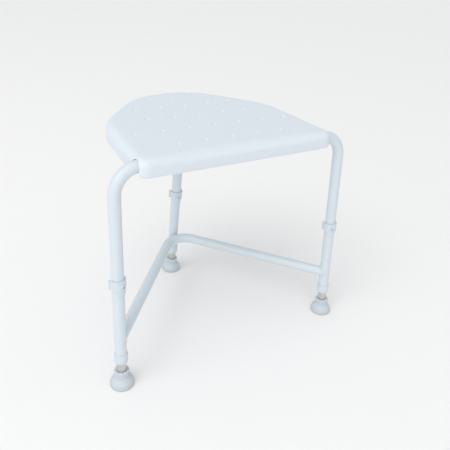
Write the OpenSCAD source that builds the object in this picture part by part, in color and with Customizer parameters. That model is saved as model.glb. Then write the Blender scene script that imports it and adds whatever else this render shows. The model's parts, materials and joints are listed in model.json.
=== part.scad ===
// Three-legged shower stool: a moulded seat on a welded tube frame, with a leg that
// telescopes at each corner, a pull-out height clip on each leg and a rubber foot.
// Millimetres, +Z up. The floor is z = 0 and the origin is under the middle of the stool.

/* [Seat] */
// Width of the seat across its front corners
seat_width = 412; // [404:1:420]
// Depth of the seat, from the front edge to the rounded back
seat_depth = 354; // [346:1:362]
// Height of the sitting surface with the legs pushed right in
seat_height = 453; // [450:1:456]
// Height of the seat's side wall, from the sitting surface down
skirt_height = 31; // [29:1:34]
// Thickness of the moulded seat's top and side wall
seat_wall = 3.4; // [3:0.1:4]

/* [Frame] */
// Outside diameter of the frame tube
tube_d = 22.2; // [22:0.1:22.4]
// Wall thickness of every tube
tube_wall = 1.2; // [1:0.1:1.3]
// Bend radius of the frame tubes, to the middle of the tube
bend_r = 47; // [44:1:48]
// Height of the brace above the floor
brace_height = 108; // [100:1:120]

/* [Legs] */
// Distance between the two front feet
front_foot_span = 506; // [490:1:520]
// Distance from the front feet back to the rear foot
rear_foot_distance = 313; // [305:1:320]
// How far each front leg leans back, in degrees
front_lean = 4.6; // [4:0.1:5]
// How far each front leg leans in sideways, in degrees
front_splay = 1.7; // [1:0.1:2.5]
// How far the rear leg leans forwards, in degrees
rear_lean = 5.2; // [4.5:0.1:5.5]
// Outside diameter of the telescoping inner leg
inner_leg_d = 19; // [18.8:0.1:19.2]
// Number of height settings
height_settings = 7; // [5:1:7]
// Distance between height settings
hole_pitch = 25; // [22:1:25]

/* [Feet] */
// Diameter of the rubber foot where it meets the floor
foot_d = 46.6; // [42:0.2:50]
// Height of the rubber foot
foot_h = 34; // [32:1:36]

/* [Hidden] */
$fn = 64;

LEFT = 0;
RIGHT = 1;
REAR = 2;

plastic_white = [0.90, 0.93, 0.96];
tube_white = [0.86, 0.89, 0.92];
bare_metal = [0.74, 0.73, 0.71];

tube_r = tube_d / 2;
tube_bore_r = tube_r - tube_wall;
inner_r = inner_leg_d / 2;
inner_bore_r = inner_r - tube_wall;

// Along Y everything is set out from the line between the front feet, then moved so that
// the origin is under the middle of the stool.
seat_front_y = 15;
seat_back_y = seat_front_y + seat_depth;
middle_y = (seat_back_y - foot_d / 2) / 2;
front_y = -middle_y;
rear_y = rear_foot_distance - middle_y;

// The frame tube lies just under the seat's top.
rail_gap = 0.4;
rail_z = seat_height - seat_wall - rail_gap - tube_r;
rail_y = front_y + rail_z * tan(front_lean);
rear_corner_y = rear_y - rail_z * tan(rear_lean);

// Distances along a leg, measured from the floor
front_corner_s = rail_z / cos(front_lean) / cos(front_splay);
rear_corner_s = rail_z / cos(rear_lean);
outer_leg_start_s = 58;
pin_s = 227;
inner_leg_start_s = 9.6;
inner_leg_end_s = pin_s + (height_settings - 1) * hole_pitch + 9;

// The height clip: its pin runs through both tubes
pin_r = 3;
pin_hole_r = 3.3;
clip_turn = 20;
clip_inner_r = tube_r + 0.3;
clip_outer_r = clip_inner_r + 3;

// Seat fixings
saddle_w = 16;
saddle_t = 2.4;
screw_offset = tube_r + 9;
front_saddle_x = 112;
rear_saddle_y = [rail_y + 88, rail_y + 168];
boss_r = 6;
pilot_r = 1.8;

// The seat's outline is five circles, [x, y, radius], joined by their outer tangents,
// going round from the right front corner.
corner_r = 22;
side_r = 146;
back_r = 156;
side_x = seat_width / 2 - 9 - side_r;
side_y = front_y + seat_front_y + 152;
seat_circles = [
    [seat_width / 2 - corner_r, front_y + seat_front_y + corner_r, corner_r],
    [side_x, side_y, side_r],
    [0, front_y + seat_back_y - back_r, back_r],
    [-side_x, side_y, side_r],
    [-seat_width / 2 + corner_r, front_y + seat_front_y + corner_r, corner_r]
];
edge_round_h = 18;
edge_round_v = 14;
edge_steps = 8;
trim = 0.05;

// Where two stretches of one piece meet, one laps the other and is a hair smaller
seam = 0.06;
seam_lap = 0.8;

// Drain holes lie on a grid
drain_pitch_x = 55;
drain_pitch_y = 66;
drain_first_y = front_y + seat_front_y + 53;
drain_rows = [2, 3, 2, 2, 1];
drain_r = 2;
drain_dimple_r = 4.6;
drain_dimple_depth = 1.6;

// ---------------------------------------------------------------- placing

// Puts its children in a leg's own frame: the floor point is the origin and +Z runs up the leg
module on_leg(leg) {
    if (leg == REAR)
        translate([0, rear_y, 0]) rotate([rear_lean, 0, 0]) children();
    else {
        side = leg == LEFT ? -1 : 1;
        translate([side * front_foot_span / 2, front_y, 0])
            rotate([-front_lean, 0, 0])
                rotate([0, -side * front_splay, 0])
                    children();
    }
}

// Puts its children at the height pin, with -Y the way the clip pulls out
module at_pin(leg) {
    turn = leg == LEFT ? clip_turn : leg == RIGHT ? -clip_turn : 0;
    on_leg(leg) translate([0, 0, pin_s]) rotate([0, 0, turn]) children();
}

// A round bar along +Y, from y0 to y1
module bar_y(r, y0, y1) {
    translate([0, y0, 0]) rotate([-90, 0, 0]) cylinder(r = r, h = y1 - y0);
}

// A round bar along +X, from x0 to x1
module bar_x(r, x0, x1) {
    translate([x0, 0, 0]) rotate([0, 90, 0]) cylinder(r = r, h = x1 - x0);
}

// ---------------------------------------------------------------- seat

function next_circle(i) = (i + 1) % len(seat_circles);

// Direction of the outward normal of the tangent from circle i to the next one
function tangent_angle(i) =
    let (
        a = seat_circles[i],
        b = seat_circles[next_circle(i)],
        d = [b[0] - a[0], b[1] - a[1]]
    )
    atan2(d[1], d[0]) - acos((a[2] - b[2]) / norm(d));

// Length of the tangent from circle i to the next one
function tangent_length(i) =
    let (a = seat_circles[i], b = seat_circles[next_circle(i)])
    sqrt(pow(norm([b[0] - a[0], b[1] - a[1]]), 2) - pow(b[2] - a[2], 2));

// Corners of the flat core at circle i: its centre, then both ends of the bar's inner face
function core_corners(i, depth) =
    let (
        a = seat_circles[i],
        b = seat_circles[next_circle(i)],
        n = [cos(tangent_angle(i)), sin(tangent_angle(i))]
    )
    [
        [a[0], a[1]],
        [a[0] + (a[2] - depth) * n[0], a[1] + (a[2] - depth) * n[1]],
        [b[0] + (b[2] - depth) * n[0], b[1] + (b[2] - depth) * n[1]]
    ];

// Half section of the seat's edge: the outer face is x = 0 and the body lies towards -X
function edge_section(depth, z0, z1, round_h, round_v) = concat(
    [[-depth, z0], [-1.2, z0], [0, z0 + 1.2]],
    [for (k = [0 : edge_steps])
        let (a = 90 * k / edge_steps)
        [round_h * (cos(a) - 1), z1 - round_v + round_v * sin(a)]],
    [[-depth, z1]]
);

// The seat's outline pulled in by inset, from z0 to z1, with a rounded top edge. A disc
// fills each corner, a bar runs along each tangent and a flat core fills the middle; the
// discs are a seam smaller than the bars, and one cut makes the top and the bottom level.
module seat_form(inset, z0, z1) {
    round_h = edge_round_h - inset;
    round_v = edge_round_v - inset;
    bar_depth = round_h + 1;
    low = z0 - trim;
    high = z1 + trim;
    count = len(seat_circles);
    intersection() {
        translate([-seat_width, -seat_depth, z0]) cube([2 * seat_width, 2 * seat_depth, z1 - z0]);
        union() {
            for (i = [0 : count - 1]) {
                c = seat_circles[i];
                r = c[2] - inset;
                translate([c[0], c[1], 0])
                    rotate_extrude($fn = 120)
                        translate([r - seam, 0])
                            polygon(edge_section(r - seam, low + seam, high - seam, round_h, round_v));
                run = tangent_length(i) + 2 * seam_lap;
                translate([c[0], c[1], 0])
                    rotate([0, 0, tangent_angle(i)])
                        translate([r, run - seam_lap, 0])
                            rotate([90, 0, 0])
                                linear_extrude(run)
                                    polygon(edge_section(bar_depth, low, high, round_h, round_v));
            }
            translate([0, 0, low + seam])
                linear_extrude(high - low - 2 * seam)
                    polygon([
                        for (i = [0 : count - 1])
                            each core_corners(i, inset + bar_depth - seam_lap)
                    ]);
        }
    }
}

// Room for the frame under the seat: the rail, the rear tube and their way in from below
module frame_room(clearance) {
    r = tube_r + clearance;
    bottom = seat_height - skirt_height - 1;
    translate([0, rail_y, rail_z]) bar_x(r, -seat_width / 2 - 1, seat_width / 2 + 1);
    translate([-seat_width / 2 - 1, rail_y - r, bottom])
        cube([seat_width + 2, 2 * r, rail_z - bottom]);
    translate([0, 0, rail_z]) bar_y(r, rail_y, rear_corner_y + 2 * tube_r);
    translate([-r, rail_y, bottom])
        cube([2 * r, rear_corner_y + 2 * tube_r - rail_y, rail_z - bottom]);
}

module drain_holes() {
    for (row = [0 : len(drain_rows) - 1])
        for (column = [-drain_rows[row] : drain_rows[row]])
            translate([column * drain_pitch_x, drain_first_y + row * drain_pitch_y, seat_height]) {
                translate([0, 0, -2 * seat_wall]) cylinder(r = drain_r, h = 3 * seat_wall);
                translate([0, 0, -drain_dimple_depth])
                    cylinder(r1 = drain_r, r2 = drain_dimple_r, h = drain_dimple_depth + 0.01);
            }
}

// Stiffening ribs between the rows and columns of drain holes
module seat_ribs() {
    rib_t = 2.2;
    rib_h = 9;
    z = seat_height - seat_wall - rib_h;
    for (x = [-2.5, -1.5, -0.5, 0.5, 1.5, 2.5])
        translate([x * drain_pitch_x - rib_t / 2, front_y + seat_front_y, z])
            cube([rib_t, seat_depth, rib_h + 0.5]);
    for (row = [0.5, 1.5, 2.5, 3.5])
        translate([-seat_width / 2, drain_first_y + row * drain_pitch_y - rib_t / 2, z])
            cube([seat_width, rib_t, rib_h + 0.5]);
}

// Every screw of the four saddles: one behind the rail at each front saddle, where the
// seat's front wall leaves no room for two, and one each side of the rear tube.
module at_saddle_screws() {
    for (side = [-1, 1]) {
        translate([side * front_saddle_x, rail_y + screw_offset, rail_z]) children();
        for (y = rear_saddle_y)
            translate([side * screw_offset, y, rail_z]) children();
    }
}

module seat_shell() {
    z0 = seat_height - skirt_height;
    color(plastic_white)
        difference() {
            union() {
                difference() {
                    seat_form(0, z0, seat_height);
                    seat_form(seat_wall, z0 - 5, seat_height - seat_wall);
                }
                difference() {
                    intersection() {
                        seat_form(seat_wall - 0.5, z0 + 4, seat_height - 1);
                        seat_ribs();
                    }
                    frame_room(1);
                }
                at_saddle_screws()
                    cylinder(r = boss_r, h = seat_height - 1 - rail_z);
            }
            drain_holes();
            at_saddle_screws() translate([0, 0, -1]) cylinder(r = pilot_r, h = 12);
            intersection() {
                frame_room(2);
                union()
                    for (side = [-1, 1])
                        translate([side * seat_width / 2 - 30, rail_y - 30, 0])
                            cube([60, 60, seat_height - seat_wall - 0.2]);
            }
        }
}

// ---------------------------------------------------------------- frame

// A straight stretch of tube along +Z, which laps the bend at either end if asked
module tube(length, lap_start = 0, lap_end = 0) {
    translate([0, 0, -lap_start])
        difference() {
            cylinder(r = tube_r, h = length + lap_start + lap_end);
            translate([0, 0, -1]) cylinder(r = tube_bore_r, h = length + lap_start + lap_end + 2);
        }
}

// A bend of tube about +Z, from +X round by the angle
module tube_bend(radius, angle) {
    rotate_extrude(angle = angle)
        translate([radius, 0])
            difference() {
                circle(r = tube_r - seam);
                circle(r = tube_bore_r + seam);
            }
}

// A leg from its lower end to the top of its bend, which turns towards +X
module outer_leg(straight, turn) {
    translate([0, 0, outer_leg_start_s]) tube(straight - outer_leg_start_s, 0, seam_lap);
    translate([bend_r, 0, straight])
        rotate([90, 0, 0])
            rotate([0, 0, 180 - turn])
                tube_bend(bend_r, turn);
}

// Holes through both walls for the height pin
module pin_holes(leg, from_setting, to_setting) {
    for (k = [from_setting : to_setting])
        at_pin(leg)
            translate([0, 0, k * hole_pitch])
                bar_y(pin_hole_r, -tube_d, tube_d);
}

front_turn = 90 - front_splay;
front_tangent = bend_r * tan(front_turn / 2);
rail_end_x = front_foot_span / 2 - front_corner_s * sin(front_splay) - front_tangent;

module front_frame_tube() {
    color(tube_white)
        difference() {
            union() {
                on_leg(LEFT) outer_leg(front_corner_s - front_tangent, front_turn);
                on_leg(RIGHT)
                    mirror([1, 0, 0]) outer_leg(front_corner_s - front_tangent, front_turn);
                translate([-rail_end_x, rail_y, rail_z])
                    rotate([0, 90, 0]) tube(2 * rail_end_x, seam_lap, seam_lap);
            }
            pin_holes(LEFT, 0, 0);
            pin_holes(RIGHT, 0, 0);
        }
}

rear_turn = 90 - rear_lean;
rear_tangent = bend_r * tan(rear_turn / 2);

module rear_frame_tube() {
    color(tube_white)
        difference() {
            union() {
                on_leg(REAR)
                    rotate([0, 0, -90]) outer_leg(rear_corner_s - rear_tangent, rear_turn);
                translate([0, rail_y, rail_z])
                    rotate([-90, 0, 0]) tube(rear_corner_y - rear_tangent - rail_y, 0, seam_lap);
            }
            translate([0, rail_y, rail_z]) bar_x(tube_r + 0.05, -40, 40);
            pin_holes(REAR, 0, 0);
        }
}

// The brace is one bent tube: its bend rests on the front of the rear leg and its two
// ends meet the front legs.
brace_leg_x = front_foot_span / 2 - brace_height / cos(front_lean) * tan(front_splay);
brace_leg_y = front_y + brace_height * tan(front_lean);
brace_bend_r = 45;
brace_apex_y = rear_y - brace_height * tan(rear_lean) - tube_d / cos(rear_lean) - 0.1;
// Half angle of the V, found from the straight arm that is tangent to the bend
brace_centre_y = brace_apex_y - brace_bend_r;
brace_reach = norm([brace_leg_x, brace_centre_y - brace_leg_y]);
brace_arm_angle = atan2(brace_centre_y - brace_leg_y, brace_leg_x)
    + asin(brace_bend_r / brace_reach);
brace_arm = sqrt(pow(brace_reach, 2) - pow(brace_bend_r, 2));

module brace_tube() {
    color(tube_white)
        difference() {
            translate([0, brace_centre_y, brace_height]) {
                rotate([0, 0, 90 - brace_arm_angle])
                    tube_bend(brace_bend_r, 2 * brace_arm_angle);
                for (side = [0, 1])
                    mirror([side, 0, 0])
                        rotate([0, 0, 90 - brace_arm_angle])
                            translate([brace_bend_r, 0, 0])
                                rotate([90, 0, 0])
                                    tube(brace_arm, seam_lap);
            }
            for (leg = [LEFT, RIGHT])
                on_leg(leg) translate([0, 0, 60]) cylinder(r = tube_r + 0.05, h = 100);
        }
}

// ---------------------------------------------------------------- seat fixings

// One saddle strap: it wraps under a tube that runs along X. An ear with a screw hole
// stands out at each end that has one, and an end without an ear turns up beside the tube.
module saddle(front_ear) {
    r = tube_r + 0.1;
    lip_h = 8;
    ear = screw_offset + 6;
    front = front_ear ? -ear : 0;
    difference() {
        union() {
            bar_x(r + saddle_t, -saddle_w / 2, saddle_w / 2);
            translate([-saddle_w / 2, front, -saddle_t])
                cube([saddle_w, ear - front, saddle_t]);
        }
        bar_x(r, -saddle_w, saddle_w);
        translate([-saddle_w, -2 * tube_d, 0]) cube([2 * saddle_w, 4 * tube_d, tube_d]);
        for (side = [-1, 1])
            translate([0, side * screw_offset, -saddle_t - 1]) cylinder(r = 2.2, h = saddle_t + 2);
    }
    if (!front_ear)
        translate([-saddle_w / 2, -r - saddle_t, -0.01]) cube([saddle_w, saddle_t, lip_h]);
}

module seat_saddles() {
    color(plastic_white) {
        for (x = [-front_saddle_x, front_saddle_x])
            translate([x, rail_y, rail_z]) saddle(false);
        for (y = rear_saddle_y)
            translate([0, y, rail_z]) rotate([0, 0, 90]) saddle(true);
    }
}

washer_t = 0.8;

module saddle_washers() {
    color(bare_metal)
        at_saddle_screws()
            translate([0, 0, -saddle_t - washer_t])
                difference() {
                    cylinder(r = 4.8, h = washer_t);
                    translate([0, 0, -1]) cylinder(r = 2.2, h = washer_t + 2);
                }
}

module saddle_screws() {
    head_h = 2.4;
    color(bare_metal)
        at_saddle_screws()
            translate([0, 0, -saddle_t - washer_t])
                difference() {
                    union() {
                        cylinder(r = pilot_r - 0.05, h = 11);
                        translate([0, 0, -head_h]) cylinder(r1 = 2.8, r2 = 3.8, h = head_h);
                    }
                    for (turn = [0, 90])
                        rotate([0, 0, turn])
                            translate([-2, -0.45, -head_h - 1])
                                cube([4, 0.9, 2.2]);
                }
}

// ---------------------------------------------------------------- legs

// Plastic bush on the end of an outer leg: a sleeve outside the tube and a lip that
// guides the inner leg.
module leg_bush(leg) {
    bush_bottom_s = 54;
    bush_top_s = 75;
    bush_r = 13;
    color(plastic_white)
        on_leg(leg)
            difference() {
                translate([0, 0, bush_bottom_s])
                    rotate_extrude()
                        polygon([
                            [0, 0], [bush_r - 2.4, 0], [bush_r - 0.7, 1.2], [bush_r, 3.2],
                            [bush_r, bush_top_s - bush_bottom_s - 0.8],
                            [bush_r - 0.8, bush_top_s - bush_bottom_s],
                            [0, bush_top_s - bush_bottom_s]
                        ]);
                translate([0, 0, outer_leg_start_s - 0.05])
                    cylinder(r = tube_r + 0.05, h = bush_top_s);
                translate([0, 0, bush_bottom_s - 1]) cylinder(r = inner_r + 0.1, h = 20);
            }
}

// Inner leg: a plain tube with a row of pin holes
module inner_leg(leg) {
    color(bare_metal)
        difference() {
            on_leg(leg)
                translate([0, 0, inner_leg_start_s])
                    difference() {
                        cylinder(r = inner_r, h = inner_leg_end_s - inner_leg_start_s);
                        translate([0, 0, -1])
                            cylinder(r = inner_bore_r, h = inner_leg_end_s - inner_leg_start_s + 2);
                    }
            pin_holes(leg, 0, height_settings - 1);
        }
}

// Plastic glide in the top of an inner leg, which centres it in the outer leg
module leg_glide(leg) {
    flange_h = 2.4;
    color(plastic_white)
        on_leg(leg)
            translate([0, 0, inner_leg_end_s + 0.05])
                difference() {
                    union() {
                        cylinder(r = tube_bore_r - 0.3, h = flange_h);
                        translate([0, 0, -5]) cylinder(r = inner_bore_r - 0.05, h = 5.5);
                    }
                    translate([0, 0, -6]) cylinder(r = inner_bore_r - 2, h = 6);
                }
}

// Height clip: a band that hugs the front of the outer leg, two arms with flared ends,
// a tapered thumb tongue, and the pin that goes through both tubes.
module height_clip(leg) {
    band_low = -6;
    band_high = 12;
    arm = 6;
    tongue_low = -16;
    face_y = -clip_outer_r;
    color(plastic_white)
        at_pin(leg) {
            difference() {
                union() {
                    translate([0, 0, band_low])
                        difference() {
                            cylinder(r = clip_outer_r, h = band_high - band_low);
                            translate([-tube_d, 0, -1])
                                cube([2 * tube_d, tube_d, band_high - band_low + 2]);
                        }
                    for (side = [-1, 1]) {
                        translate([side * (clip_inner_r + 1.5) - 1.5, -0.01, band_low])
                            cube([3, arm, band_high - band_low]);
                        translate([side * (clip_outer_r - 0.1), arm, band_low])
                            cylinder(r = 1.7, h = band_high - band_low);
                    }
                    intersection() {
                        translate([0, 0, tongue_low])
                            cylinder(r = clip_outer_r - 0.6, h = band_low - tongue_low + 1);
                        rotate([90, 0, 0])
                            linear_extrude(tube_d)
                                polygon([
                                    [-11, band_low + 1], [-6, tongue_low], [6, tongue_low],
                                    [11, band_low + 1]
                                ]);
                    }
                    bar_y(4.6, face_y - 1.8, -clip_inner_r - 0.5);
                }
                translate([0, 0, -30]) cylinder(r = clip_inner_r, h = 60);
                translate([-clip_inner_r, 0, -30]) cube([2 * clip_inner_r, 3 * arm, 60]);
                bar_y(2.2, face_y - 3, face_y + 1.5);
            }
            bar_y(pin_r, -clip_inner_r - 0.6, tube_r);
            translate([0, tube_r, 0])
                rotate([-90, 0, 0])
                    cylinder(r1 = pin_r, r2 = pin_r - 1.2, h = 1.6);
        }
}

// ---------------------------------------------------------------- feet

foot_socket_s = 8;

// Rubber foot: a wide bell-shaped base, flat on the floor, with a neck that leans with
// the leg.
module foot(leg) {
    base_r = foot_d / 2;
    neck_r = 14.3;
    band_h = 6;
    flare_top = 21;
    flare_steps = 8;
    lean = leg == REAR ? [0, -tan(rear_lean)] : [
        (leg == LEFT ? 1 : -1) * tan(front_splay), tan(front_lean)
    ];
    middle = 13;
    color(plastic_white)
        difference() {
            union() {
                translate([
                    (leg == REAR ? 0 : (leg == LEFT ? -1 : 1) * front_foot_span / 2)
                        + lean[0] * middle,
                    (leg == REAR ? rear_y : front_y) + lean[1] * middle,
                    0
                ])
                    difference() {
                        rotate_extrude()
                            polygon(concat(
                                [[0, 0], [base_r - 1, 0], [base_r, 1], [base_r, band_h - 1],
                                    [base_r - 1, band_h]],
                                [for (k = [1 : flare_steps])
                                    let (
                                        share = k / flare_steps,
                                        span = base_r - 1 - neck_r
                                    )
                                    [neck_r + span * (1 + cos(180 * share)) / 2,
                                        band_h + (flare_top - band_h) * share]],
                                [[0, flare_top]]
                            ));
                        for (groove_r = [8, 13, 18])
                            translate([0, 0, -1])
                                difference() {
                                    cylinder(r = groove_r + 0.8, h = 2);
                                    translate([0, 0, -1]) cylinder(r = groove_r - 0.8, h = 4);
                                }
                    }
                on_leg(leg)
                    translate([0, 0, middle])
                        rotate_extrude()
                            polygon([
                                [0, 0], [neck_r - 0.6, 0], [neck_r - 0.6, foot_h - middle - 5],
                                [neck_r, foot_h - middle - 4], [neck_r, foot_h - middle],
                                [neck_r - 0.8, foot_h - middle + 1], [0, foot_h - middle + 1]
                            ]);
            }
            on_leg(leg) translate([0, 0, foot_socket_s]) cylinder(r = inner_r + 0.05, h = 60);
        }
}

// Steel washer in the bottom of the foot's socket, under the end of the inner leg
module foot_washer(leg) {
    color(bare_metal)
        on_leg(leg)
            translate([0, 0, foot_socket_s + 0.05])
                difference() {
                    cylinder(r = inner_r - 0.3, h = 1.5);
                    translate([0, 0, -1]) cylinder(r = 4, h = 4);
                }
}

module left_leg_bush() { leg_bush(LEFT); }
module right_leg_bush() { leg_bush(RIGHT); }
module rear_leg_bush() { leg_bush(REAR); }
module left_inner_leg() { inner_leg(LEFT); }
module right_inner_leg() { inner_leg(RIGHT); }
module rear_inner_leg() { inner_leg(REAR); }
module left_leg_glide() { leg_glide(LEFT); }
module right_leg_glide() { leg_glide(RIGHT); }
module rear_leg_glide() { leg_glide(REAR); }
module left_height_clip() { height_clip(LEFT); }
module right_height_clip() { height_clip(RIGHT); }
module rear_height_clip() { height_clip(REAR); }
module left_foot() { foot(LEFT); }
module right_foot() { foot(RIGHT); }
module rear_foot() { foot(REAR); }
module left_foot_washer() { foot_washer(LEFT); }
module right_foot_washer() { foot_washer(RIGHT); }
module rear_foot_washer() { foot_washer(REAR); }

seat_shell();
front_frame_tube();
rear_frame_tube();
brace_tube();
seat_saddles();
saddle_washers();
saddle_screws();
left_leg_bush();
right_leg_bush();
rear_leg_bush();
left_inner_leg();
right_inner_leg();
rear_inner_leg();
left_leg_glide();
right_leg_glide();
rear_leg_glide();
left_height_clip();
right_height_clip();
rear_height_clip();
left_foot();
right_foot();
rear_foot();
left_foot_washer();
right_foot_washer();
rear_foot_washer();
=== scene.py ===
# %% [markdown]
# # A shower stool
#
# This lesson dresses a finished CAD model of a three-legged shower stool. The CAD parts
# give the sizes and the moving parts. Blender adds what a solid modeller leaves out: the
# soft shape of the moulded seat, weld beads, rounded rubber feet, and the finishes.
# Everything is in metres, +Z is up, the straight front edge of the seat runs along X and
# the rounded back is towards +Y.

# %% Load the CAD frame
import json
import math

import bpy
from mathutils import Matrix, Vector

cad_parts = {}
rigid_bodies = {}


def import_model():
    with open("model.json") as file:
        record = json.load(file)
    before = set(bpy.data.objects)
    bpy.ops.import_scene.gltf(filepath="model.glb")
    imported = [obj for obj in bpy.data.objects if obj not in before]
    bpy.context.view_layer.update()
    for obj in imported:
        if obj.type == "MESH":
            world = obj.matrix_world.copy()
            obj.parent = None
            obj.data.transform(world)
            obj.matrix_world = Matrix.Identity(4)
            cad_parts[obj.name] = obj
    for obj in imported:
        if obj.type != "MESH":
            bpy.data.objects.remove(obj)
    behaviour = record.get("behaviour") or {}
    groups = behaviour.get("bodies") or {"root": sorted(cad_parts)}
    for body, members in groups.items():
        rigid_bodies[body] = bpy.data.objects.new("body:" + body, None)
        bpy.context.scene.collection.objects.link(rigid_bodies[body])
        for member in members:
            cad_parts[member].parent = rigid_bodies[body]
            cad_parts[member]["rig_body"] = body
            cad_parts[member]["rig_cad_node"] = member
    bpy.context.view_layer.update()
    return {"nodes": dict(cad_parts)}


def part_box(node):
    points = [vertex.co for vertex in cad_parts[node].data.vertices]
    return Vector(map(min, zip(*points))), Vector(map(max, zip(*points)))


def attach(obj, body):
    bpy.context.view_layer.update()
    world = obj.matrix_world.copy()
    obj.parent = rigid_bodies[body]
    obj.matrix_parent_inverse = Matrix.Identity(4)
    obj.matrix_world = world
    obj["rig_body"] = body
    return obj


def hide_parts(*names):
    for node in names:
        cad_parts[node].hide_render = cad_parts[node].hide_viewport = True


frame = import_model()
nodes = frame["nodes"]
bpy.ops.object.select_all(action="DESELECT")

# %% [markdown]
# ## The stool's own measurements
#
# A piece modelled here has to meet the CAD parts, so the few sizes both share are named
# once. Each leg has its own frame: its origin is where the leg's middle line meets the
# floor, and its Z runs up the leg. A turned part can then be made upright at the origin
# and put on its leg with one matrix.

# %% Shared sizes
TUBE_R = 0.0111
FRONT_LEAN = math.radians(4.6)
FRONT_SPLAY = math.radians(1.7)
REAR_LEAN = math.radians(5.2)
FRONT_FOOT_X = 0.253
FRONT_FOOT_Y = -0.17285
REAR_FOOT_Y = 0.14015
RAIL_Y = -0.137601
RAIL_Z = 0.4381
BRACE_Z = 0.108


def leg_matrix(name):
    """Where a leg stands and how it leans, as one matrix."""
    if name == "rear":
        return Matrix.Translation((0, REAR_FOOT_Y, 0)) @ Matrix.Rotation(REAR_LEAN, 4, "X")
    side = -1 if name == "left" else 1
    place = Matrix.Translation((side * FRONT_FOOT_X, FRONT_FOOT_Y, 0))
    lean = Matrix.Rotation(-FRONT_LEAN, 4, "X")
    splay = Matrix.Rotation(-side * FRONT_SPLAY, 4, "Y")
    return place @ lean @ splay


LEGS = {name: leg_matrix(name) for name in ("left", "right", "rear")}
print("legs stand at", {n: [round(c, 3) for c in m.translation] for n, m in LEGS.items()})

# %% [markdown]
# ## Effects that several finishes share
#
# A shader node group is a small machine with named inputs and outputs. It is built once
# and used in every material that needs it, with other values each time. These groups only
# put out masks and heights: the shader itself stays in the material.

# %% A helper for node groups
def new_group(name, inputs, outputs):
    """An empty shader group with number inputs (name: default) and number outputs."""
    group = bpy.data.node_groups.new(name, "ShaderNodeTree")
    for label, default in inputs.items():
        socket = group.interface.new_socket(label, in_out="INPUT", socket_type="NodeSocketFloat")
        socket.default_value = default
    for label in outputs:
        group.interface.new_socket(label, in_out="OUTPUT", socket_type="NodeSocketFloat")
    start = group.nodes.new("NodeGroupInput")
    end = group.nodes.new("NodeGroupOutput")
    place = group.nodes.new("ShaderNodeTexCoord")
    return group, start, end, place


def add_node(tree, kind, **values):
    """A new node with its settings and its unlinked inputs given by name."""
    node = tree.nodes.new(kind)
    for label, value in values.items():
        if hasattr(node, label):
            setattr(node, label, value)
        else:
            node.inputs[label.replace("_", " ")].default_value = value
    return node


# %% [markdown]
# ### Moulded grain
#
# The tool that a plastic part is moulded in is etched, so the part has a fine leathery
# grain of rounded cells. A Voronoi pattern gives the cells and a finer noise breaks them
# up. Cell size is an input, because the seat's grain is coarser than a small clip's.

# %% Group: moulded grain
FINE_PER_CELL = 2.3
FINE_SHARE = 0.5
grain, grain_in, grain_out, grain_place = new_group("moulded_grain", {"Cells": 900.0}, ["Height"])
cells = add_node(grain, "ShaderNodeTexVoronoi", feature="SMOOTH_F1")
fine = add_node(grain, "ShaderNodeTexNoise", Detail=3.0)
finer_scale = add_node(grain, "ShaderNodeMath", operation="MULTIPLY")
finer_scale.inputs[1].default_value = FINE_PER_CELL
mixed = add_node(grain, "ShaderNodeMath", operation="MULTIPLY_ADD")
mixed.inputs[1].default_value = FINE_SHARE
grain.links.new(grain_place.outputs["Object"], cells.inputs["Vector"])
grain.links.new(grain_place.outputs["Object"], fine.inputs["Vector"])
grain.links.new(grain_in.outputs["Cells"], cells.inputs["Scale"])
grain.links.new(grain_in.outputs["Cells"], finer_scale.inputs[0])
grain.links.new(finer_scale.outputs[0], fine.inputs["Scale"])
grain.links.new(fine.outputs[0], mixed.inputs[0])
grain.links.new(cells.outputs["Distance"], mixed.inputs[2])
grain.links.new(mixed.outputs[0], grain_out.inputs["Height"])
print("group", grain.name, "has", len(grain.nodes), "nodes")

# %% [markdown]
# ### Uneven gloss and faint marks
#
# Nothing that has been handled and washed is even. A slow noise gives cloudy patches, and
# a second noise stretched in one direction and cut hard leaves a few thin rub marks.

# %% Group: wear
MARK_SHARPNESS = 9.0
wear, wear_in, wear_out, wear_place = new_group(
    "handling_wear", {"Patches": 9.0, "Marks": 40.0, "Fewer Marks": 0.66}, ["Patch", "Mark"]
)
patches = add_node(wear, "ShaderNodeTexNoise", Detail=4.0, Roughness=0.6)
turned = add_node(wear, "ShaderNodeMapping")
turned.inputs["Rotation"].default_value = (0.3, 0.2, 0.9)
turned.inputs["Scale"].default_value = (1.0, 9.0, 3.0)
marks = add_node(wear, "ShaderNodeTexNoise", Detail=2.0, Roughness=0.5)
past = add_node(wear, "ShaderNodeMath", operation="SUBTRACT")
sharp = add_node(wear, "ShaderNodeMath", operation="MULTIPLY", use_clamp=True)
sharp.inputs[1].default_value = MARK_SHARPNESS
wear.links.new(wear_place.outputs["Object"], patches.inputs["Vector"])
wear.links.new(wear_in.outputs["Patches"], patches.inputs["Scale"])
wear.links.new(wear_place.outputs["Object"], turned.inputs["Vector"])
wear.links.new(turned.outputs["Vector"], marks.inputs["Vector"])
wear.links.new(wear_in.outputs["Marks"], marks.inputs["Scale"])
wear.links.new(marks.outputs[0], past.inputs[0])
wear.links.new(wear_in.outputs["Fewer Marks"], past.inputs[1])
wear.links.new(past.outputs[0], sharp.inputs[0])
wear.links.new(patches.outputs[0], wear_out.inputs["Patch"])
wear.links.new(sharp.outputs[0], wear_out.inputs["Mark"])
print("group", wear.name, "has", len(wear.nodes), "nodes")

# %% [markdown]
# ### Floor dust
#
# Dust and dried soap gather low down. The height above the floor, broken up by noise,
# gives a mask that is 1 at the floor and 0 above the height that is asked for.

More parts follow.
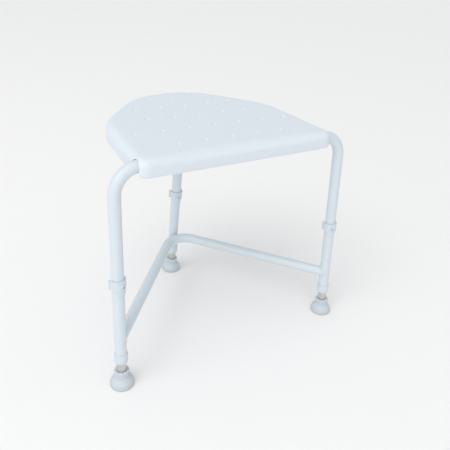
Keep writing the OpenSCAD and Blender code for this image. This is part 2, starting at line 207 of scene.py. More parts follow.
# %% Group: floor dust
dust, dust_in, dust_out, dust_place = new_group("floor_dust", {"Height": 0.02}, ["Mask"])
split = add_node(dust, "ShaderNodeSeparateXYZ")
clumps = add_node(dust, "ShaderNodeTexNoise", Scale=260.0, Detail=4.0)
share = add_node(dust, "ShaderNodeMath", operation="DIVIDE")
away = add_node(dust, "ShaderNodeMath", operation="SUBTRACT", use_clamp=True)
away.inputs[0].default_value = 1.0
broken = add_node(dust, "ShaderNodeMath", operation="MULTIPLY")
dust.links.new(dust_place.outputs["Object"], split.inputs[0])
dust.links.new(dust_place.outputs["Object"], clumps.inputs["Vector"])
dust.links.new(split.outputs["Z"], share.inputs[0])
dust.links.new(dust_in.outputs["Height"], share.inputs[1])
dust.links.new(share.outputs[0], away.inputs[1])
dust.links.new(away.outputs[0], broken.inputs[0])
dust.links.new(clumps.outputs[0], broken.inputs[1])
dust.links.new(broken.outputs[0], dust_out.inputs["Mask"])
print("group", dust.name, "has", len(dust.nodes), "nodes")

# %% [markdown]
# ## Finishes
#
# Every finish starts from the same steps: a shader, a base colour that drifts a little
# with the patches, a roughness that follows the patches and marks, and a bump. The
# function below does all but the bump, and each finish then adds its bump and its own steps.

# %% A helper for finishes
RUB_DULLNESS = 0.12


def base_finish(name, colour, patch_colour, roughness, rough_spread, patches=9.0, marks=40.0):
    """A material whose colour and roughness drift; gives back the parts a finish adds to."""
    material = bpy.data.materials.new(name)
    material.use_nodes = True
    tree = material.node_tree
    shader = tree.nodes["Principled BSDF"]
    used = add_node(tree, "ShaderNodeGroup", node_tree=wear)
    used.inputs["Patches"].default_value = patches
    used.inputs["Marks"].default_value = marks
    tint = add_node(tree, "ShaderNodeMix", data_type="RGBA")
    tint.inputs[6].default_value = (*colour, 1)
    tint.inputs[7].default_value = (*patch_colour, 1)
    gloss = add_node(tree, "ShaderNodeMath", operation="MULTIPLY_ADD")
    gloss.inputs[1].default_value = rough_spread
    gloss.inputs[2].default_value = roughness - rough_spread / 2
    rubbed = add_node(tree, "ShaderNodeMath", operation="MULTIPLY_ADD")
    rubbed.inputs[1].default_value = RUB_DULLNESS
    tree.links.new(used.outputs["Patch"], tint.inputs[0])
    tree.links.new(tint.outputs[2], shader.inputs["Base Color"])
    tree.links.new(used.outputs["Patch"], gloss.inputs[0])
    tree.links.new(used.outputs["Mark"], rubbed.inputs[0])
    tree.links.new(gloss.outputs[0], rubbed.inputs[2])
    tree.links.new(rubbed.outputs[0], shader.inputs["Roughness"])
    return material, tree, shader, used, tint


def add_bump(tree, shader, height, strength, distance):
    """Bump from a height socket."""
    bump = add_node(tree, "ShaderNodeBump", Strength=strength, Distance=distance)
    tree.links.new(height, bump.inputs["Height"])
    tree.links.new(bump.outputs["Normal"], shader.inputs["Normal"])
    return bump


# %% [markdown]
# ### Moulded plastic
#
# The seat is pale blue-white polypropylene, with a satin skin and the mould's grain. The
# clips, bushes, glides and saddles are the same family of plastic in a finer grain. The
# rub marks are slightly lighter than the skin around them.

# %% Seat plastic and fitting plastic
RUB_LIGHTER = 1.05


def moulded_plastic(name, colour, patch_colour, roughness, cells, depth):
    """Grained plastic with faint lighter rub marks."""
    material, tree, shader, used, tint = base_finish(name, colour, patch_colour, roughness, 0.16)
    rub = add_node(tree, "ShaderNodeMix", data_type="RGBA")
    rub.inputs[7].default_value = tuple(min(1.0, c * RUB_LIGHTER) for c in colour) + (1,)
    tree.links.new(used.outputs["Mark"], rub.inputs[0])
    tree.links.new(tint.outputs[2], rub.inputs[6])
    tree.links.new(rub.outputs[2], shader.inputs["Base Color"])
    skin = add_node(tree, "ShaderNodeGroup", node_tree=grain)
    skin.inputs["Cells"].default_value = cells
    add_bump(tree, shader, skin.outputs["Height"], 0.35, depth)
    shader.inputs["IOR"].default_value = 1.49
    return material


seat_plastic = moulded_plastic(
    "seat_plastic", (0.668, 0.722, 0.776), (0.690, 0.742, 0.792), 0.46, 620.0, 0.00010
)
fitting_plastic = moulded_plastic(
    "fitting_plastic", (0.590, 0.650, 0.705), (0.620, 0.680, 0.730), 0.40, 1500.0, 0.00005
)
print("plastics:", seat_plastic.name, fitting_plastic.name)

# %% [markdown]
# ### Powder coat
#
# The frame is steel tube under baked powder paint. Powder flows as it melts, and sets with
# a gentle orange-peel ripple a millimetre or two across. The paint is glossier than the
# seat, so a thin coat layer is added on the shader's own socket.

# %% Powder coat
powder_coat, tree, shader, *_ = base_finish(
    "powder_coat", (0.600, 0.665, 0.715), (0.630, 0.690, 0.735), 0.38, 0.10, patches=6.0, marks=55.0
)
peel = add_node(tree, "ShaderNodeTexNoise", Scale=480.0, Detail=1.5, Roughness=0.4)
place = add_node(tree, "ShaderNodeTexCoord")
tree.links.new(place.outputs["Object"], peel.inputs["Vector"])
add_bump(tree, shader, peel.outputs[0], 0.30, 0.00012)
shader.inputs["Coat Weight"].default_value = 0.25
shader.inputs["Coat Roughness"].default_value = 0.22
print("paint:", powder_coat.name)

# %% [markdown]
# ### Rubber
#
# The feet are pale grey-blue rubber, much duller than the plastic, with a dry bloom. They
# are what meets the wet floor, so the dust mask darkens and warms the lowest edge.

# %% Rubber
foot_rubber, tree, shader, _, tint = base_finish(
    "foot_rubber", (0.520, 0.575, 0.620), (0.565, 0.620, 0.660), 0.68, 0.14, patches=60.0, marks=90.0
)
low_dust = add_node(tree, "ShaderNodeGroup", node_tree=dust)
low_dust.inputs["Height"].default_value = 0.012
dusty = add_node(tree, "ShaderNodeMix", data_type="RGBA")
dusty.inputs[7].default_value = (0.42, 0.43, 0.43, 1)
tree.links.new(low_dust.outputs["Mask"], dusty.inputs[0])
tree.links.new(tint.outputs[2], dusty.inputs[6])
tree.links.new(dusty.outputs[2], shader.inputs["Base Color"])
skin = add_node(tree, "ShaderNodeGroup", node_tree=grain)
skin.inputs["Cells"].default_value = 1100.0
add_bump(tree, shader, skin.outputs["Height"], 0.4, 0.00008)
print("rubber:", foot_rubber.name)

# %% [markdown]
# ### Metals
#
# The inner legs are drawn aluminium left bare: fine lines run the whole length of the
# tube. A noise that is squeezed across the tube and stretched along it makes them. The
# screws and washers are zinc plated steel, which is greyer, with a soft mottled shine.

# %% Drawn aluminium
drawn_aluminium, tree, shader, *_ = base_finish(
    "drawn_aluminium", (0.60, 0.575, 0.545), (0.66, 0.64, 0.61), 0.36, 0.10, patches=25.0, marks=70.0
)
place = add_node(tree, "ShaderNodeTexCoord")
along = add_node(tree, "ShaderNodeMapping")
along.inputs["Scale"].default_value = (2600.0, 2600.0, 24.0)
lines = add_node(tree, "ShaderNodeTexNoise", Scale=1.0, Detail=2.0)
tree.links.new(place.outputs["Object"], along.inputs["Vector"])
tree.links.new(along.outputs["Vector"], lines.inputs["Vector"])
add_bump(tree, shader, lines.outputs[0], 0.25, 0.00004)
shader.inputs["Metallic"].default_value = 1.0
print("metal:", drawn_aluminium.name)

# %% Zinc plated steel
zinc_steel, tree, shader, *_ = base_finish(
    "zinc_steel", (0.56, 0.58, 0.60), (0.66, 0.67, 0.66), 0.34, 0.22, patches=300.0, marks=400.0
)
place = add_node(tree, "ShaderNodeTexCoord")
mottle = add_node(tree, "ShaderNodeTexNoise", Scale=900.0, Detail=3.0)
tree.links.new(place.outputs["Object"], mottle.inputs["Vector"])
add_bump(tree, shader, mottle.outputs[0], 0.2, 0.00004)
shader.inputs["Metallic"].default_value = 1.0
print("metal:", zinc_steel.name)

# %% [markdown]
# ### Give the CAD parts their finishes
#
# The CAD parts that stay keep their shape. Only the material in their slots changes.

# %% Finish the CAD nodes
def give(names, material):
    """Put one material in the slot of each named CAD node."""
    for name in names:
        slots = nodes[name].data.materials
        slots.clear()
        slots.append(material)


def on_each_leg(suffix):
    """The names of a part that every leg has."""
    return [f"{leg}_{suffix}" for leg in LEGS]


give(["front_frame_tube", "rear_frame_tube", "brace_tube"], powder_coat)
give(["seat_saddles"] + on_each_leg("height_clip") + on_each_leg("leg_glide"), fitting_plastic)
give(on_each_leg("inner_leg"), drawn_aluminium)
give(["saddle_washers", "saddle_screws"] + on_each_leg("foot_washer"), zinc_steel)
print("finished the CAD nodes that stay")

# %% [markdown]
# ## Modelling helpers
#
# The same few moves come again and again: start from a primitive with nothing else
# selected, work in edit mode, apply a modifier, and finish the piece by giving it a
# material, smooth shading and a body to ride on.

# %% Helpers for pieces
def begin():
    """Leave edit mode and select nothing."""
    if bpy.context.object and bpy.context.object.mode == "EDIT":
        bpy.ops.object.mode_set(mode="OBJECT")
    bpy.ops.object.select_all(action="DESELECT")


def pick(piece):
    """Make one piece the only one selected, and active."""
    begin()
    piece.select_set(True)
    bpy.context.view_layer.objects.active = piece


def apply_modifier(piece, kind, **settings):
    """Add a modifier with its settings and apply it at once."""
    pick(piece)
    modifier = piece.modifiers.new(kind.lower(), kind)
    for label, value in settings.items():
        setattr(modifier, label, value)
    bpy.ops.object.modifier_apply(modifier=modifier.name)


def clean(piece, distance=0.000002):
    """Merge doubled points and turn every face outwards."""
    pick(piece)
    bpy.ops.object.mode_set(mode="EDIT")
    bpy.ops.mesh.select_all(action="SELECT")
    bpy.ops.mesh.remove_doubles(threshold=distance)
    bpy.ops.mesh.normals_make_consistent(inside=False)
    bpy.ops.object.mode_set(mode="OBJECT")


def finish_piece(piece, name, material, body, smooth=40):
    """Name, finish and shade a piece, and let it ride on a body."""
    pick(piece)
    piece.name = name
    piece.data.name = name
    piece.data.materials.clear()
    piece.data.materials.append(material)
    bpy.ops.object.shade_smooth_by_angle(angle=math.radians(smooth))
    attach(piece, body)
    print(name, "has", len(piece.data.polygons), "faces")
    return piece


def closed_loop(points):
    """A mesh loop through the points: a circle primitive with its points moved."""
    begin()
    bpy.ops.mesh.primitive_circle_add(vertices=len(points), radius=0.01, fill_type="NOTHING")
    loop = bpy.context.object
    for vertex, point in zip(loop.data.vertices, points):
        vertex.co = point
    return loop


# %% [markdown]
# ## The seat
#
# The seat is one thin moulding: a flat top, a front edge that rolls over like a waterfall
# so that it doesn't press on the legs, tighter rounding round the sides and back, and a
# skirt. It could be a cube with a bevel, but then every edge would roll over alike. It is
# built instead as a stack of rings: one loop follows the outline, and each extrusion
# carries it on up the skirt, round the edge and in over the top, where the last ring
# closes on a point.
#
# The outline is five circles joined by straight stretches. A ring point keeps its place
# on the outline and the direction that faces out there, so a ring can be pulled in by any
# amount.

# %% The seat's outline
seat_low, seat_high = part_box("seat_shell")
SEAT_TOP = seat_high.z
SEAT_BOTTOM = seat_low.z
SEAT_CENTRE = Vector((0.0, 0.012, 0.0))
HALF_WIDTH = 0.206
SIDE_TAPER = 0.009
SIDE_BACK = 0.152
CORNER_R = 0.022
SIDE_R = 0.146
BACK_R = 0.156
SKIN = 0.0033
corner_x = HALF_WIDTH - CORNER_R
corner_y = seat_low.y + CORNER_R
side_x = HALF_WIDTH - SIDE_TAPER - SIDE_R
side_y = seat_low.y + SIDE_BACK
OUTLINE_CIRCLES = [
    (corner_x, corner_y, CORNER_R),
    (side_x, side_y, SIDE_R),
    (0.0, seat_high.y - BACK_R, BACK_R),
    (-side_x, side_y, SIDE_R),
    (-corner_x, corner_y, CORNER_R),
]


def tangent_angle(a, b):
    """Which way the straight stretch from circle a to circle b faces."""
    dx = b[0] - a[0]
    dy = b[1] - a[1]
    return math.atan2(dy, dx) - math.acos((a[2] - b[2]) / math.hypot(dx, dy))


def seat_outline(step):
    """Points round the seat as (place, outward direction), about a step apart."""
    count = len(OUTLINE_CIRCLES)
    faces = [tangent_angle(OUTLINE_CIRCLES[i], OUTLINE_CIRCLES[(i + 1) % count]) for i in range(count)]
    outline = []
    for i, (x, y, r) in enumerate(OUTLINE_CIRCLES):
        first = faces[i - 1]
        turn = (faces[i] - first) % (2 * math.pi)
        pieces = max(6, round(turn * r / step))
        for k in range(pieces + 1):
            angle = first + turn * k / pieces
            out = Vector((math.cos(angle), math.sin(angle), 0))
            outline.append((Vector((x, y, 0)) + r * out, out))
        nx, ny, nr = OUTLINE_CIRCLES[(i + 1) % count]
        out = Vector((math.cos(faces[i]), math.sin(faces[i]), 0))
        start = Vector((x, y, 0)) + r * out
        end = Vector((nx, ny, 0)) + nr * out
        pieces = round((end - start).length / step)
        outline += [(start.lerp(end, k / pieces), out) for k in range(1, pieces)]
    return outline


outline = seat_outline(0.005)
print("outline has", len(outline), "points")


# %% [markdown]
# How far the roll-over reaches in is a function of the place on the outline: 27 mm in the
# middle of the front edge, easing to 17 mm at the corners and all the way round.

# %% Rings of the seat
ROLL_REACH = 0.017
MORE_AT_FRONT = 0.010
EASE_FROM = 0.10
EASE_OVER = 0.075


def roll_reach(place, out):
    """How far in from the edge the top starts to roll over."""
    front = max(0.0, -out.y) ** 8
    middle = 1 - min(1.0, max(0.0, (abs(place.x) - EASE_FROM) / EASE_OVER))
    middle = middle * middle * (3 - 2 * middle)
    return ROLL_REACH + MORE_AT_FRONT * front * middle


def ring(inset, z):
    """The outline pulled in by an inset, which is a number or a function of the place."""
    pull = inset if callable(inset) else lambda place, out: inset
    points = [place - out * pull(place, out) for place, out in outline]
    return [Vector((p.x, p.y, z)) for p in points]


def edge_rings(skin, top, roll_height, steps):
    """Rings round the rolled edge, from the top of the skirt to the flat top."""
    rings = []
    for k in range(steps + 1):
        angle = math.pi / 2 * k / steps
        share = 1 - math.cos(angle)
        z = top - roll_height * (1 - math.sin(angle))
        rings.append(ring(lambda p, o: skin + (roll_reach(p, o) - skin) * share, z))
    return rings


def towards_centre(points, scale):
    """A ring drawn in towards the middle of the seat, at its own height."""
    middle_x = SEAT_CENTRE.x
    middle_y = SEAT_CENTRE.y
    return [
        Vector((middle_x + (p.x - middle_x) * scale, middle_y + (p.y - middle_y) * scale, p.z))
        for p in points
    ]


def loft(rings):
    """Extrude a loop from ring to ring, all with the same number of points."""
    piece = closed_loop(rings[0])
    for old, new in zip(rings, rings[1:]):
        pick(piece)
        bpy.ops.object.mode_set(mode="EDIT")
        bpy.ops.mesh.extrude_edges_move()
        bpy.ops.object.mode_set(mode="OBJECT")
        goes_to = {tuple(round(c, 6) for c in a): b for a, b in zip(old, new)}
        for vertex in piece.data.vertices:
            if vertex.select:
                vertex.co = goes_to[tuple(round(c, 6) for c in vertex.co)]
    return piece


def close_on_point(piece, centre):
    """Close the selected loop with one more ring drawn in to a point."""
    pick(piece)
    bpy.ops.object.mode_set(mode="EDIT")
    bpy.ops.mesh.extrude_edges_move()
    bpy.ops.mesh.merge(type="CENTER")
    bpy.ops.object.mode_set(mode="OBJECT")
    for vertex in piece.data.vertices:
        if vertex.select:
            vertex.co = centre


# %% Loft the seat's skin
ROLL_HEIGHT = 0.014
TOP_SHARES = [0.93, 0.85, 0.72, 0.58, 0.44, 0.30, 0.17, 0.07]
skirt = [
    ring(0.0011, SEAT_BOTTOM),
    ring(0.0003, SEAT_BOTTOM + 0.0003),
    ring(0.0, SEAT_BOTTOM + 0.0011),
    ring(0.0, SEAT_BOTTOM + 0.008),
]
edge = edge_rings(0.0, SEAT_TOP, ROLL_HEIGHT, 12)
top = [towards_centre(edge[-1], share) for share in TOP_SHARES]
seat = loft(skirt + edge + top)
close_on_point(seat, Vector((SEAT_CENTRE.x, SEAT_CENTRE.y, SEAT_TOP)))
clean(seat)
apply_modifier(seat, "SOLIDIFY", thickness=SKIN, offset=-1, use_even_offset=True)
clean(seat)
print("skin", round(SKIN * 1000, 1), "mm thick,", len(seat.data.polygons), "faces")

# %% [markdown]
# ### Drain holes
#
# Water runs off through rows of small holes, each in a soft dimple. One trumpet-shaped
# cutter is modelled, copied to every place, and taken away from the skin with a Boolean.
# The trumpet's wide mouth meets the top at a shallow angle, so the dimple has a soft lip.

# %% Cut the drain holes
DRAIN_PITCH_X = 0.055
DRAIN_PITCH_Y = 0.066
DRAIN_FIRST_Y = seat_low.y + 0.053
DRAIN_ROWS = [2, 3, 2, 2, 1]
TRUMPET = [
    (0.0066, 0.0010), (0.0051, 0.0000), (0.0046, -0.00030), (0.0040, -0.00075), (0.0033, -0.0012),
    (0.0027, -0.0017), (0.0023, -0.0022), (0.0020, -0.0028), (0.0019, -0.0060),
]


def circle_ring(radius, z, count=28):
    """Points of a circle about Z."""
    turns = [2 * math.pi * k / count for k in range(count)]
    return [Vector((radius * math.cos(t), radius * math.sin(t), z)) for t in turns]


def capped(rings):
    """A loft with both ends filled."""
    piece = loft(rings)
    pick(piece)
    bpy.ops.object.mode_set(mode="EDIT")
    bpy.ops.mesh.select_all(action="DESELECT")
    bpy.ops.mesh.select_non_manifold()
    bpy.ops.mesh.fill_holes(sides=0)
    bpy.ops.object.mode_set(mode="OBJECT")
    clean(piece)
    return piece


def copies_at(piece, places):
    """Copy a piece to each place, join the copies, and drop the first one."""
    made = []
    for place in places:
        copy = piece.copy()
        copy.data = piece.data.copy()
        copy.data.transform(Matrix.Translation(place))
        bpy.context.collection.objects.link(copy)
        made.append(copy)
    bpy.data.objects.remove(piece)
    begin()
    for copy in made:
        copy.select_set(True)
    bpy.context.view_layer.objects.active = made[0]
    bpy.ops.object.join()
    return bpy.context.object


def cut(piece, cutter, operation="DIFFERENCE"):
    """Boolean with a cutter, which is then removed."""
    apply_modifier(piece, "BOOLEAN", operation=operation, object=cutter, solver="EXACT")
    bpy.data.objects.remove(cutter)


drain_places = [
    Vector((column * DRAIN_PITCH_X, DRAIN_FIRST_Y + row * DRAIN_PITCH_Y, SEAT_TOP))
    for row, half in enumerate(DRAIN_ROWS)
    for column in range(-half, half + 1)
]
trumpet = capped([circle_ring(radius, z) for radius, z in TRUMPET])
cut(seat, copies_at(trumpet, drain_places))
print("cut", len(drain_places), "drain holes, seat has", len(seat.data.polygons), "faces")

# %% [markdown]
# ### Where the frame comes out
#
# The front tube leaves the seat through a notch low in each side of the skirt. The cutter
# is an arch drawn once and lofted across the skirt, open at the bottom like the notch.

# %% Cut the side notches
NOTCH_R = TUBE_R + 0.0008
NOTCH_FROM = 0.176
NOTCH_TO = 0.230
NOTCH_FLOOR = SEAT_BOTTOM - 0.01


def arch(x):
    """The notch's shape at x: half a circle over the tube, and straight down below it."""
    turns = [math.pi * k / 24 for k in range(25)]
    points = [Vector((x, RAIL_Y + NOTCH_R * math.cos(t), RAIL_Z + NOTCH_R * math.sin(t))) for t in turns]
    points.append(Vector((x, RAIL_Y - NOTCH_R, NOTCH_FLOOR)))
    points.append(Vector((x, RAIL_Y + NOTCH_R, NOTCH_FLOOR)))
    return points


for side in (-1, 1):
    cut(seat, capped([arch(side * NOTCH_FROM), arch(side * NOTCH_TO)]))
finish_piece(seat, "seat_moulding", seat_plastic, "stool", smooth=24)
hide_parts("seat_shell")

# %% [markdown]
# ### Ribs and screw bosses under the seat
#
# The CAD seat already has the ribs and screw bosses, cut back where the frame passes.
# A copy of it is merged into one closed mesh and only what lies inside the skin is kept,
# by intersecting it with the hollow's own shape.

# %% Keep the ribs and bosses
ribs = nodes["seat_shell"].copy()
ribs.data = nodes["seat_shell"].data.copy()
ribs.parent = None
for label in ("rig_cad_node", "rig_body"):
    if label in ribs:
        del ribs[label]
ribs.hide_render = False
ribs.hide_viewport = False
bpy.context.collection.objects.link(ribs)
clean(ribs)


RIB_SLACK = 0.00015
HOLLOW_REACH = 0.0186
HOLLOW_ROLL = 0.0142
HOLLOW_CEILING = 0.00342


def hollow_rings():
    """The shape of the space under the skin, a hair smaller all round."""
    side = SKIN + RIB_SLACK
    roll_start = SEAT_TOP - HOLLOW_ROLL
    rings = [ring(side, SEAT_BOTTOM + 0.004), ring(side, roll_start)]
    for k in range(1, 7):
        angle = math.pi / 2 * k / 6
        inset = side + (HOLLOW_REACH - SKIN) * (1 - math.cos(angle))
        z = roll_start + (HOLLOW_ROLL - HOLLOW_CEILING) * math.sin(angle)
        rings.append(ring(inset, z))
    return rings


cut(ribs, capped(hollow_rings()), "INTERSECT")
finish_piece(ribs, "seat_ribs", seat_plastic, "stool", smooth=30)

# %% [markdown]
# ## Weld beads
#
# The brace is welded to the legs, and the rear tube to the front rail. A weld bead is a
# low lumpy ring in the corner between two tubes. A torus gives the ring; its points are
# moved so that the ring follows the line where one tube's skin meets the other's, and its
# thickness ripples as the weld pool did.

# %% Weld beads round the tube joints
BEAD_R = 0.0017


def tube_meets_tube(start, along, other_point, other_axis, count, radius=TUBE_R):
    """Points where a tube's skin first meets another tube's skin."""
    along = along.normalized()
    other_axis = other_axis.normalized()
    across = along.orthogonal().normalized()
    up = along.cross(across)
    points = []
    for k in range(count):
        turn = 2 * math.pi * k / count
        skin_point = start + radius * (math.cos(turn) * across + math.sin(turn) * up)
        gap = skin_point - other_point
        flat_gap = gap - gap.dot(other_axis) * other_axis
        flat_way = along - along.dot(other_axis) * other_axis
        a = flat_way.length_squared
        b = 2 * flat_gap.dot(flat_way)
        c = flat_gap.length_squared - TUBE_R * TUBE_R
        root = math.sqrt(max(0.0, b * b - 4 * a * c))
        points.append(skin_point + along * ((-b - root) / (2 * a)))
    return points


def weld_bead(name, path):
    """A rippled ring along a closed path."""
    begin()
    sides = 10
    bpy.ops.mesh.primitive_torus_add(
        major_segments=len(path), minor_segments=sides, major_radius=0.02, minor_radius=BEAD_R
    )
    bead = bpy.context.object
    count = len(path)
    middle = sum(path, Vector()) / count
    for i, vertex in enumerate(bead.data.vertices):
        k, m = divmod(i, sides)
        forward = (path[(k + 1) % count] - path[k - 1]).normalized()
        outward = (path[k] - middle).normalized()
        side_way = forward.cross(outward).normalized()
        outward = side_way.cross(forward)
        size = BEAD_R * (1 + 0.16 * math.sin(2 * math.pi * k * 17 / count) + 0.07 * math.sin(k * 1.7))
        turn = 2 * math.pi * m / sides
        vertex.co = path[k] + size * (math.cos(turn) * outward + math.sin(turn) * side_way)
    clean(bead)
    finish_piece(bead, name, powder_coat, "stool", smooth=60)


arm_half_angle = math.radians(49.9357)
for leg, side in (("left", -1), ("right", 1)):
    arm_way = Vector((side * math.sin(arm_half_angle), -math.cos(arm_half_angle), 0))
    foot = LEGS[leg].translation
    leg_axis = LEGS[leg].to_3x3() @ Vector((0, 0, 1))
    leg_point = foot + leg_axis * (BRACE_Z / leg_axis.z)
    path = tube_meets_tube(leg_point - arm_way * 0.06, arm_way, leg_point, leg_axis, 96)
    weld_bead(f"{leg}_brace_weld", path)

rail_point = Vector((0, RAIL_Y, RAIL_Z))
rail_axis = Vector((1, 0, 0))
path = tube_meets_tube(rail_point + Vector((0, 0.05, 0)), Vector((0, -1, 0)), rail_point, rail_axis, 96)
weld_bead("rear_tube_weld", path)

# %% [markdown]
# The brace's bend only touches the rear leg, so its weld is a small oval in the crevice
# between the two skins.

# %% The weld at the rear leg
OVAL_HALF_WIDTH = 0.0068
OVAL_HALF_HEIGHT = 0.0062
BRACE_BEND_DIAMETER = 0.112
rear_axis = LEGS["rear"].to_3x3() @ Vector((0, 0, 1))
rear_point = LEGS["rear"].translation + rear_axis * (BRACE_Z / rear_axis.z)
touch_y = rear_point.y - TUBE_R / math.cos(REAR_LEAN)
oval = []
for k in range(72):
    turn = 2 * math.pi * k / 72
    x = OVAL_HALF_WIDTH * math.cos(turn)
    z = OVAL_HALF_HEIGHT * math.sin(turn)
    leg_skin = touch_y + TUBE_R - math.sqrt(TUBE_R**2 - x * x) - z * math.tan(REAR_LEAN)
    bend_skin = touch_y - (TUBE_R - math.sqrt(TUBE_R**2 - z * z)) - x * x / BRACE_BEND_DIAMETER
    oval.append(Vector((x, (leg_skin + bend_skin) / 2, BRACE_Z + z)))
weld_bead("rear_brace_weld", oval)

# %% [markdown]
# ## Turned parts on the legs
#
# The feet and bushes are round, so half their section is drawn once, as a closed loop of
# (radius, height) pairs, and spun about Z. On the bushes a small bevel softens the hard
# corners, and the leg's matrix puts the part in place.

# %% Spin a section
def spun(section, bevel, steps=72):
    """A closed section spun about Z, with its hard edges bevelled when a bevel width is given."""
    piece = closed_loop([Vector((r, 0, z)) for r, z in section])
    pick(piece)
    bpy.ops.object.mode_set(mode="EDIT")
    bpy.ops.mesh.select_all(action="SELECT")
    bpy.ops.mesh.spin(steps=steps, angle=2 * math.pi, center=(0, 0, 0), axis=(0, 0, 1))
    bpy.ops.object.mode_set(mode="OBJECT")
    clean(piece, 0.00001)
    if bevel:
        apply_modifier(
            piece, "BEVEL", width=bevel, segments=2, limit_method="ANGLE", angle_limit=math.radians(35)
        )
    return piece


# %% [markdown]
# ### Leg bushes
#
# The bush is a sleeve pushed on to the end of the painted tube. Its nose narrows to guide
# the inner leg.

# %% Leg bushes
BUSH_SECTION = [
    (0.00965, 0.0540), (0.0106, 0.0540), (0.0118, 0.0548), (0.0127, 0.0564), (0.0130, 0.0585),
    (0.0130, 0.0738), (0.0127, 0.0746), (0.01115, 0.0750), (0.01115, 0.05795), (0.00965, 0.05795),
]
for leg, matrix in LEGS.items():
    bush = spun(BUSH_SECTION, 0.00015)
    bush.data.transform(matrix)
    finish_piece(bush, f"{leg}_bush_sleeve", fitting_plastic, "stool")
    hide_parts(f"{leg}_leg_bush")

# %% [markdown]
# ### Rubber feet
#
# A foot has two parts that don't share an axis. The wide base stands flat on the floor,
# and the neck leans with the leg. Both are spun, then a Boolean joins them and bores the
# socket that the inner leg stands in. Rings in the base's underside grip a wet floor.

# %% Rubber feet
BASE_SECTION = [
    (0.0, 0.0), (0.0074, 0.0), (0.0078, 0.0010), (0.0086, 0.0010), (0.0090, 0.0), (0.0124, 0.0),
    (0.0128, 0.0010), (0.0136, 0.0010), (0.0140, 0.0), (0.0174, 0.0), (0.0178, 0.0010),
    (0.0186, 0.0010), (0.0190, 0.0), (0.0221, 0.0), (0.0230, 0.0005), (0.0233, 0.0016),
    (0.0233, 0.0052), (0.0230, 0.0062), (0.0224, 0.0068), (0.0223, 0.0078), (0.0219, 0.0096),
    (0.0210, 0.0116), (0.0198, 0.0136), (0.0184, 0.0155), (0.0169, 0.0173), (0.0156, 0.0190),
    (0.0148, 0.0206), (0.0144, 0.0220), (0.0, 0.0220),
]
NECK_SECTION = [
    (0.0, 0.0130), (0.0137, 0.0130), (0.0137, 0.0288), (0.0139, 0.0296), (0.0144, 0.0302),
    (0.0147, 0.0312), (0.0147, 0.0334), (0.0143, 0.0345), (0.0134, 0.0350), (0.0, 0.0350),
]
SOCKET_SECTION = [
    (0.0, 0.0080), (0.00955, 0.0080), (0.00955, 0.0340), (0.0102, 0.0351), (0.0106, 0.0380), (0.0, 0.0380),
]
BASE_MEETS_NECK = 0.013


def rubber_foot(leg, matrix):
    """An upright base and a leaning neck, whose middle lines cross low in the foot."""
    lean = matrix.to_3x3() @ Vector((0, 0, 1))
    shift = Vector((lean.x, lean.y, 0)) * (BASE_MEETS_NECK / lean.z)
    base = spun(BASE_SECTION, 0)
    base.data.transform(Matrix.Translation(Vector((matrix.translation.x, matrix.translation.y, 0)) + shift))
    neck = spun(NECK_SECTION, 0)
    neck.data.transform(matrix)
    socket = spun(SOCKET_SECTION, 0)
    socket.data.transform(matrix)
    cut(base, neck, "UNION")
    cut(base, socket)
    finish_piece(base, f"{leg}_rubber_foot", foot_rubber, f"{leg}_leg", smooth=38)
    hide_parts(f"{leg}_foot")


for leg, matrix in LEGS.items():
    rubber_foot(leg, matrix)

# %% [markdown]
# ## Floor, light and camera
#
# The stool stands on a plain pale floor that runs out of view, and the floor can be seen
# through from below so that the underside can be looked at. A large soft light on the left
# brightens the left of the tubes. A broad sun whose shadows are very soft does most of the
# work, a weak low light fills the faces that look to the front, and the pale world lights
# the rest.

# %% Floor
begin()
bpy.ops.mesh.primitive_plane_add(size=60, location=(0, 0, -0.0002))
floor = bpy.context.object
floor.name = "studio_floor"
paper = bpy.data.materials.new("pale_paper")
paper.use_nodes = True
paper_shader = paper.node_tree.nodes["Principled BSDF"]
paper_shader.inputs["Roughness"].default_value = 0.9
paper_shader.inputs["Specular IOR Level"].default_value = 0.1
fibre = add_node(paper.node_tree, "ShaderNodeTexNoise", Scale=4.0, Detail=3.0)
fibre_place = add_node(paper.node_tree, "ShaderNodeTexCoord")
paper_tone = add_node(paper.node_tree, "ShaderNodeMix", data_type="RGBA")
paper_tone.inputs[6].default_value = (0.866, 0.860, 0.853, 1)
paper_tone.inputs[7].default_value = (0.878, 0.872, 0.865, 1)
paper.node_tree.links.new(fibre_place.outputs["Object"], fibre.inputs["Vector"])
paper.node_tree.links.new(fibre.outputs[0], paper_tone.inputs[0])
paper.node_tree.links.new(paper_tone.outputs[2], paper_shader.inputs["Base Color"])
below = add_node(paper.node_tree, "ShaderNodeNewGeometry")
see_through = add_node(paper.node_tree, "ShaderNodeBsdfTransparent")
either = add_node(paper.node_tree, "ShaderNodeMixShader")
paper.node_tree.links.new(below.outputs["Backfacing"], either.inputs[0])
paper.node_tree.links.new(paper_shader.outputs[0], either.inputs[1])
paper.node_tree.links.new(see_through.outputs[0], either.inputs[2])
paper.node_tree.links.new(either.outputs[0], paper.node_tree.nodes["Material Output"].inputs["Surface"])
floor.data.materials.append(paper)
print("floor:", floor.name, "in", paper.name)

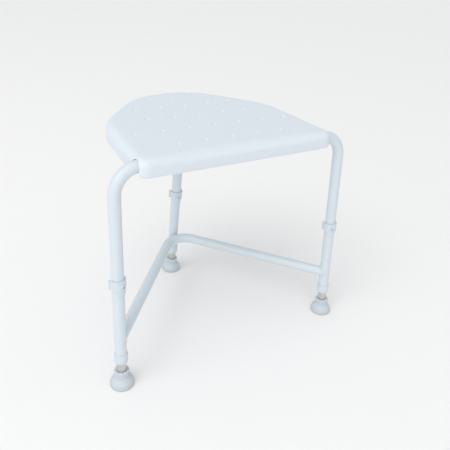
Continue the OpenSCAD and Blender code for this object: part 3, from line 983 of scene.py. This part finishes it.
# %% The world
WORLD_LIGHT = 0.76
WORLD_SEEN = 0.91
world = bpy.data.worlds.new("studio")
bpy.context.scene.world = world
world.use_nodes = True
world_shader = world.node_tree.nodes["Background"]
world_shader.inputs["Color"].default_value = (0.97, 0.985, 1.0, 1)
seen = add_node(world.node_tree, "ShaderNodeLightPath")
level = add_node(world.node_tree, "ShaderNodeMath", operation="MULTIPLY_ADD")
level.inputs[1].default_value = WORLD_SEEN - WORLD_LIGHT
level.inputs[2].default_value = WORLD_LIGHT
world.node_tree.links.new(seen.outputs["Is Camera Ray"], level.inputs[0])
world.node_tree.links.new(level.outputs[0], world_shader.inputs["Strength"])
print("world lights at", WORLD_LIGHT, "and is seen at", WORLD_SEEN)


# %% Lights
def soft_light(name, place, size, power, colour):
    """A square area light that looks at the stool."""
    light = bpy.data.lights.new(name, "AREA")
    light.shape = "SQUARE"
    light.size = size
    light.energy = power
    light.color = colour
    lamp = bpy.data.objects.new(name, light)
    bpy.context.collection.objects.link(lamp)
    lamp.location = place
    aim = Vector((0, 0, 0.25)) - Vector(place)
    lamp.rotation_euler = aim.to_track_quat("-Z", "Y").to_euler()


soft_light("key_light", (-3.0, -0.6, 2.6), 2.6, 24, (1.0, 0.995, 0.98))
soft_light("fill_light", (-1.2, -2.8, 0.8), 2.0, 13, (1.0, 0.995, 0.985))

sky = bpy.data.lights.new("broad_light", "SUN")
sky.energy = 0.8
sky.angle = math.radians(50)
sky_lamp = bpy.data.objects.new("broad_light", sky)
bpy.context.collection.objects.link(sky_lamp)
sky_lamp.rotation_euler = Vector((0.55, 0.30, -1.0)).to_track_quat("-Z", "Y").to_euler()

# %% [markdown]
# The camera stands to the left of the front, a little above the seat and quite near, so
# that the far leg looks clearly smaller. It is turned by three angles: round to face the
# stool, down, and a slight roll.

# %% Camera
CAMERA_PLACE = Vector((-0.4765, -0.8353, 0.7706))
YAW = math.radians(33.14)
PITCH = math.radians(30.22)
ROLL = math.radians(4.73)
camera_data = bpy.data.cameras.new("camera")
camera_data.sensor_width = 36
camera_data.lens = 39.73
camera = bpy.data.objects.new("camera", camera_data)
bpy.context.collection.objects.link(camera)
facing = Matrix.Rotation(-YAW, 4, "Z") @ Matrix.Rotation(math.pi / 2 - PITCH, 4, "X")
camera.matrix_world = Matrix.Translation(CAMERA_PLACE) @ facing @ Matrix.Rotation(ROLL, 4, "Z")
bpy.context.scene.camera = camera
bpy.context.scene.view_settings.view_transform = "Standard"
print("camera at", [round(c, 3) for c in CAMERA_PLACE])
